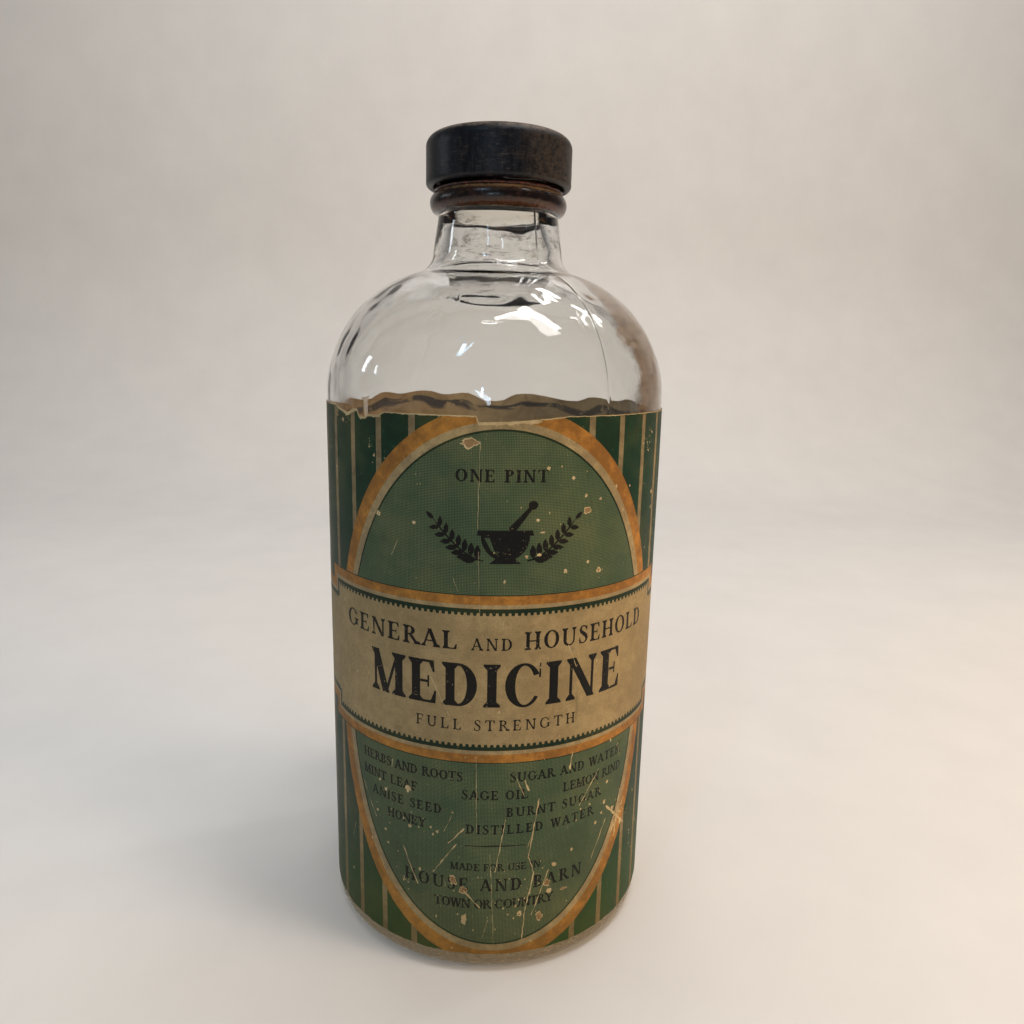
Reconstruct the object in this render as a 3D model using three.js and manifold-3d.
// A round pint medicine bottle: blown clear glass with a continuous-thread finish, a black moulded
// screw cap with its two-layer liner, and a paper label wrapped nearly all the way round.
// Millimetres, +Z up, origin at the middle of the base. The label's front faces -Y.

import * as THREE from "three";
import { mergeVertices } from "three/addons/utils/BufferGeometryUtils.js";
import Module from "manifold-3d";

const wasm = await Module();
wasm.setup();

// ---------------------------------------------------------------------------------------------
// Driving dimensions, in millimetres unless a name says otherwise.
// ---------------------------------------------------------------------------------------------

// Every turned piece has the same facets, so concentric surfaces keep their gaps all the way round.
const FACETS = 48;

// Glass body.
const BODY_RADIUS = 37.25;
const BODY_HEIGHT = 118.5; // base to the start of the shoulder
const BODY_WALL = 3;
const SHOULDER_RADIUS = 27.5;
const HEEL_RADIUS = 3.2;
const BEARING_WIDTH = 3; // flat ring that the bottle stands on
const PUSH_UP = 2.5; // rise of the underside at the middle
const BASE_THICKNESS = 5;
const INNER_HEEL_RADIUS = 6;

// Neck and transfer bead.
const NECK_STEP = 0.25; // finish to the top of the neck, in radius
const NECK_TAPER = 1.1; // radius lost on the way up to the bead
const NECK_LENGTH = 7.9;
const NECK_FILLET = 4.5;
const BEAD_HEIGHT = 4.4;
const BEAD_PROJECTION = 1.05; // beyond the crest of the thread

// Threaded finish, 28 mm across its thread, six threads to the inch.
const FINISH_RADIUS = 12.65; // wall under the thread
const FINISH_WALL = 3.65;
const FINISH_HEIGHT = 8.1; // bead to lip
const LIP_RADIUS = 0.9; // rounding of the lip, inside and outside
const THREAD_PITCH = 25.4 / 6;
const THREAD_DEPTH = 1.05;
const THREAD_BASE = 2; // width where the thread leaves the wall
const THREAD_CREST = 0.8;
const THREAD_TURNS = 1;
const THREAD_DROP = 0.9; // lip to the top of the thread
const THREAD_FADE = THREE.MathUtils.degToRad(20); // turn over which a thread fades into its wall
const THREAD_ROOT_DEPTH = 0.4; // how far inside its wall a thread's root starts

// Screw cap.
const CAP_HEIGHT = 10.4;
const CAP_WALL = 1.61;
const CAP_TOP_THICKNESS = 1.6;
const CAP_TOP_ROUNDING = 2.4;
const CAP_FOOT_ROUNDING = 1;
const CAP_MOUTH_CHAMFER = 0.3;
const CAP_THREAD_DEPTH = 1;
const CAP_THREAD_BASE = 1.8;
const CAP_THREAD_TURNS = 1;
const CAP_THREAD_DROP = 1.6; // middle of the bottle's thread down to the middle of the cap's

// Liner: a pulpboard disc faced with a waxed disc.
const LINER_BACKING_THICKNESS = 1;
const LINER_FACING_THICKNESS = 0.3;

// Label.
const LABEL_THICKNESS = 0.2;
const LABEL_FOOT = 4.2; // base to the label's lower edge
const LABEL_HEAD = 1.3; // label's upper edge to the start of the shoulder
const LABEL_SEAM_WIDTH = 2.6; // bare glass between the two ends
const LABEL_SEAM_AZIMUTH = THREE.MathUtils.degToRad(-112); // from the front, positive to the right

// Clearances.
const THREAD_CLEARANCE = 0.25; // bottle thread to cap wall, and cap thread to bottle wall
const LINER_SIDE_CLEARANCE = 0.2;
const SEAT_GAP = 0.1; // between faces that rest on each other
const LABEL_CLEARANCE = 0.05;

// ---------------------------------------------------------------------------------------------
// Levels and radii worked out from the driving dimensions.
// ---------------------------------------------------------------------------------------------

const neckTopRadius = FINISH_RADIUS + NECK_STEP;
const neckFootRadius = neckTopRadius + NECK_TAPER;
const boreRadius = FINISH_RADIUS - FINISH_WALL;
const threadCrestRadius = FINISH_RADIUS + THREAD_DEPTH;
const beadRadius = threadCrestRadius + BEAD_PROJECTION;

// The shoulder arc and the neck fillet touch each other where the line of their centres crosses them.
const shoulderCentreR = BODY_RADIUS - SHOULDER_RADIUS;
const filletCentreR = neckFootRadius + NECK_FILLET;
const shoulderToFillet = SHOULDER_RADIUS + NECK_FILLET;
const shoulderAngle = Math.acos((filletCentreR - shoulderCentreR) / shoulderToFillet);
const neckFoot = BODY_HEIGHT + shoulderToFillet * Math.sin(shoulderAngle);

const beadFoot = neckFoot + NECK_LENGTH;
const beadHead = beadFoot + BEAD_HEIGHT;
const lipLevel = beadHead + FINISH_HEIGHT;

const threadTopLevel = lipLevel - THREAD_DROP - THREAD_BASE / 2; // middle of the thread's upper end
const threadFootLevel = threadTopLevel - THREAD_PITCH * THREAD_TURNS;

const facingFoot = lipLevel + SEAT_GAP;
const backingFoot = facingFoot + LINER_FACING_THICKNESS + SEAT_GAP;
const capCeiling = backingFoot + LINER_BACKING_THICKNESS + SEAT_GAP;
const capTop = capCeiling + CAP_TOP_THICKNESS;
const capFoot = capTop - CAP_HEIGHT;

// A polygon's flats lie nearer the axis than its corners, so running fits are kept on the flats.
const facet = (2 * Math.PI) / FACETS;
const flatShare = Math.cos(facet / 2);
const capBoreRadius = (threadCrestRadius + THREAD_CLEARANCE) / flatShare;
const capRadius = capBoreRadius + CAP_WALL;
const capThreadCrestRadius = Math.max(
  capBoreRadius - CAP_THREAD_DEPTH,
  (FINISH_RADIUS + THREAD_CLEARANCE) / flatShare,
);
const linerRadius = capBoreRadius - LINER_SIDE_CLEARANCE;

const labelInnerRadius = BODY_RADIUS + LABEL_CLEARANCE;
const labelOuterRadius = labelInnerRadius + LABEL_THICKNESS;

// ---------------------------------------------------------------------------------------------
// Geometry helpers.
// ---------------------------------------------------------------------------------------------

// Points on an arc of a profile (r, z), from one angle to another, both ends included.
function arc(centreR, centreZ, radius, from, to, steps) {
  return Array.from({ length: steps + 1 }, (_, i) => {
    const angle = from + ((to - from) * i) / steps;
    return new THREE.Vector2(
      centreR + radius * Math.cos(angle),
      centreZ + radius * Math.sin(angle),
    );
  });
}

function point(r, z) {
  return new THREE.Vector2(r, z);
}

// A solid of revolution about +Z from a profile of (r, z) points that starts and ends on the axis,
// or comes back to its first point. The first corner of its polygon faces the front.
function turned(profile) {
  const geometry = new THREE.LatheGeometry(profile, FACETS);
  geometry.rotateX(Math.PI / 2);
  return geometry;
}

// The direction of an azimuth measured from the front, positive to the right.
function outward(azimuth) {
  return new THREE.Vector2(Math.sin(azimuth), -Math.cos(azimuth));
}

// A point at an azimuth on the polygon that a turned piece of this corner radius has.
function ringPoint(cornerRadius, azimuth) {
  const fromMiddle = azimuth - facet * (Math.floor(azimuth / facet) + 0.5);
  return outward(azimuth).multiplyScalar((cornerRadius * flatShare) / Math.cos(fromMiddle));
}

// A ridge that winds up a right-hand screw and fades into its wall at both ends. Its root sits a
// little inside the wall. wallRadius and crestRadius are corner radii.
function screwRidge({ wallRadius, crestRadius, base, footLevel, startAngle, turns }) {
  const outwards = Math.sign(crestRadius - wallRadius);
  const rootRadius = wallRadius - outwards * THREAD_ROOT_DEPTH;
  const steps = Math.round((turns * 2 * Math.PI) / facet);
  const leastFade = 0.1; // the ends stay solid, out of sight inside the wall
  const positions = [];
  const indices = [];
  for (let i = 0; i <= steps; i++) {
    const turnedBy = i * facet;
    const fade = Math.min(1, turnedBy / THREAD_FADE, (steps * facet - turnedBy) / THREAD_FADE);
    const level = footLevel + (THREAD_PITCH * turnedBy) / (2 * Math.PI);
    const tipRadius = rootRadius + (crestRadius - rootRadius) * Math.max(fade, leastFade);
    const section = [
      point(rootRadius, level - base / 2),
      point(tipRadius, level - THREAD_CREST / 2),
      point(tipRadius, level + THREAD_CREST / 2),
      point(rootRadius, level + base / 2),
    ];
    const direction = outward(startAngle + turnedBy);
    for (const corner of section) {
      positions.push(direction.x * corner.x, direction.y * corner.x, corner.y);
    }
    const here = 4 * i;
    for (let k = 0; k < 4 && i < steps; k++) {
      const next = (k + 1) % 4;
      indices.push(here + k, here + 4 + k, here + 4 + next);
      indices.push(here + k, here + 4 + next, here + next);
    }
  }
  const last = 4 * steps;
  indices.push(0, 1, 2, 0, 2, 3);
  indices.push(last, last + 2, last + 1, last, last + 3, last + 2);
  if (outwards < 0) indices.reverse();
  const geometry = new THREE.BufferGeometry();
  geometry.setAttribute("position", new THREE.Float32BufferAttribute(positions, 3));
  geometry.setIndex(indices);
  return geometry;
}

// The union of closed geometries.
function joined(...geometries) {
  const solids = geometries.map((geometry) => {
    const bare = new THREE.BufferGeometry();
    bare.setAttribute("position", geometry.getAttribute("position"));
    bare.setIndex(geometry.getIndex());
    const merged = mergeVertices(bare);
    return new wasm.Manifold(
      new wasm.Mesh({
        numProp: 3,
        vertProperties: new Float32Array(merged.getAttribute("position").array),
        triVerts: new Uint32Array(merged.getIndex().array),
      }),
    );
  });
  const mesh = solids.reduce((sum, solid) => sum.add(solid)).getMesh();
  const geometry = new THREE.BufferGeometry();
  geometry.setAttribute("position", new THREE.BufferAttribute(mesh.vertProperties, 3));
  geometry.setIndex(new THREE.BufferAttribute(mesh.triVerts, 1));
  geometry.computeVertexNormals();
  return geometry;
}

// ---------------------------------------------------------------------------------------------
// Sub-parts.
// ---------------------------------------------------------------------------------------------

// The bottle itself: push-up base, heel, straight body, round shoulder, neck, transfer bead and
// threaded finish, open at the mouth and hollow all the way down.
function glassBottle() {
  const quarter = Math.PI / 2;
  const bearingOuter = BODY_RADIUS - HEEL_RADIUS;
  const bearingInner = bearingOuter - BEARING_WIDTH;
  const domeShare = 0.5; // how far out the push-up's parabola is sampled
  const beadMiddle = beadFoot + BEAD_HEIGHT / 2;
  const beadArc = arc(0, 0, 1, -quarter, quarter, 6).map((p) =>
    point(neckTopRadius + (beadRadius - neckTopRadius) * p.x, beadMiddle + (BEAD_HEIGHT / 2) * p.y),
  );
  const innerShoulderRadius = SHOULDER_RADIUS - BODY_WALL;
  const innerHeelR = BODY_RADIUS - BODY_WALL - INNER_HEEL_RADIUS;
  const profile = [
    point(0, PUSH_UP),
    point(bearingInner * domeShare, PUSH_UP * (1 - domeShare ** 2)),
    point(bearingInner, 0),
    ...arc(bearingOuter, HEEL_RADIUS, HEEL_RADIUS, -quarter, 0, 4),
    ...arc(shoulderCentreR, BODY_HEIGHT, SHOULDER_RADIUS, 0, shoulderAngle, 10),
    ...arc(filletCentreR, neckFoot, NECK_FILLET, Math.PI + shoulderAngle, Math.PI, 4).slice(1),
    ...beadArc,
    point(FINISH_RADIUS, beadHead),
    ...arc(FINISH_RADIUS - LIP_RADIUS, lipLevel - LIP_RADIUS, LIP_RADIUS, 0, quarter, 3),
    ...arc(boreRadius + LIP_RADIUS, lipLevel - LIP_RADIUS, LIP_RADIUS, quarter, 2 * quarter, 3),
    point(boreRadius, beadFoot),
    ...arc(filletCentreR, neckFoot, NECK_FILLET + BODY_WALL, Math.PI, Math.PI + shoulderAngle, 4),
    ...arc(shoulderCentreR, BODY_HEIGHT, innerShoulderRadius, shoulderAngle, 0, 9).slice(1),
    ...arc(innerHeelR, BASE_THICKNESS + INNER_HEEL_RADIUS, INNER_HEEL_RADIUS, 0, -quarter, 4),
    point(0, PUSH_UP + BASE_THICKNESS),
  ];
  const thread = screwRidge({
    wallRadius: FINISH_RADIUS,
    crestRadius: threadCrestRadius,
    base: THREAD_BASE,
    footLevel: threadFootLevel,
    startAngle: 0,
    turns: THREAD_TURNS,
  });
  return joined(turned(profile), thread);
}

// The moulded cap: rounded at its top edge and foot, plain outside, with an inside thread that runs
// close under the bottle's along the same screw, so it slides freely and is held against a pull.
function capShell() {
  const quarter = Math.PI / 2;
  const footR = capRadius - CAP_FOOT_ROUNDING;
  const topR = capRadius - CAP_TOP_ROUNDING;
  const profile = [
    point(0, capCeiling),
    point(capBoreRadius, capCeiling),
    point(capBoreRadius, capFoot + CAP_MOUTH_CHAMFER),
    point(capBoreRadius + CAP_MOUTH_CHAMFER, capFoot),
    point(footR, capFoot),
    ...arc(footR, capFoot + CAP_FOOT_ROUNDING, CAP_FOOT_ROUNDING, -quarter, 0, 3).slice(1),
    ...arc(topR, capTop - CAP_TOP_ROUNDING, CAP_TOP_ROUNDING, 0, quarter, 4),
    point(0, capTop),
  ];
  // The cap's thread keeps clear of its foot and of the liner.
  const footLevel = capFoot + CAP_MOUTH_CHAMFER + CAP_THREAD_BASE / 2;
  const onBottleScrew = threadFootLevel - CAP_THREAD_DROP;
  const startAngle = (2 * Math.PI * (footLevel - onBottleScrew)) / THREAD_PITCH;
  const startFacet = Math.ceil(startAngle / facet);
  const thread = screwRidge({
    wallRadius: capBoreRadius,
    crestRadius: capThreadCrestRadius,
    base: CAP_THREAD_BASE,
    footLevel: onBottleScrew + (THREAD_PITCH * startFacet) / FACETS,
    startAngle: startFacet * facet,
    turns: CAP_THREAD_TURNS,
  });
  return joined(turned(profile), thread);
}

// A flat disc of the liner.
function linerDisc(foot, thickness) {
  return turned([
    point(0, foot),
    point(linerRadius, foot),
    point(linerRadius, foot + thickness),
    point(0, foot + thickness),
  ]);
}

// The paper label: a sleeve round the straight body, open where its two ends stop short of meeting.
function labelSleeve() {
  const halfSeam = LABEL_SEAM_WIDTH / 2 / labelOuterRadius;
  const start = LABEL_SEAM_AZIMUTH + halfSeam;
  const end = LABEL_SEAM_AZIMUTH - halfSeam + 2 * Math.PI;
  const azimuths = [start];
  for (let corner = Math.ceil(start / facet); corner * facet < end; corner++) {
    if (corner * facet > start) azimuths.push(corner * facet);
  }
  azimuths.push(end);
  const outside = azimuths.map((azimuth) => ringPoint(labelOuterRadius, azimuth));
  const inside = azimuths.map((azimuth) => ringPoint(labelInnerRadius, azimuth)).reverse();
  const geometry = new THREE.ExtrudeGeometry(new THREE.Shape([...outside, ...inside]), {
    depth: BODY_HEIGHT - LABEL_HEAD - LABEL_FOOT,
    bevelEnabled: false,
  });
  geometry.translate(0, 0, LABEL_FOOT);
  return geometry;
}

// ---------------------------------------------------------------------------------------------
// Assembly.
// ---------------------------------------------------------------------------------------------

const materials = {
  glass: new THREE.MeshStandardMaterial({ color: 0xdfe3dc, roughness: 0.06, metalness: 0 }),
  cap: new THREE.MeshStandardMaterial({ color: 0x16171b, roughness: 0.35, metalness: 0 }),
  pulpboard: new THREE.MeshStandardMaterial({ color: 0xa98f68, roughness: 0.95, metalness: 0 }),
  waxedPaper: new THREE.MeshStandardMaterial({ color: 0xd8cba6, roughness: 0.5, metalness: 0 }),
  label: new THREE.MeshStandardMaterial({ color: 0x3d4a30, roughness: 0.7, metalness: 0 }),
};

function part(name, geometry, material) {
  const mesh = new THREE.Mesh(geometry, material);
  mesh.name = name;
  return mesh;
}

const bottle = new THREE.Group();
bottle.add(part("glass_bottle", glassBottle(), materials.glass));
bottle.add(part("label", labelSleeve(), materials.label));

const closure = new THREE.Group();
closure.add(part("cap_shell", capShell(), materials.cap));
closure.add(
  part("liner_backing", linerDisc(backingFoot, LINER_BACKING_THICKNESS), materials.pulpboard),
);
closure.add(
  part("liner_facing", linerDisc(facingFoot, LINER_FACING_THICKNESS), materials.waxedPaper),
);

const medicineBottle = new THREE.Group();
medicineBottle.add(bottle, closure);

export default medicineBottle;
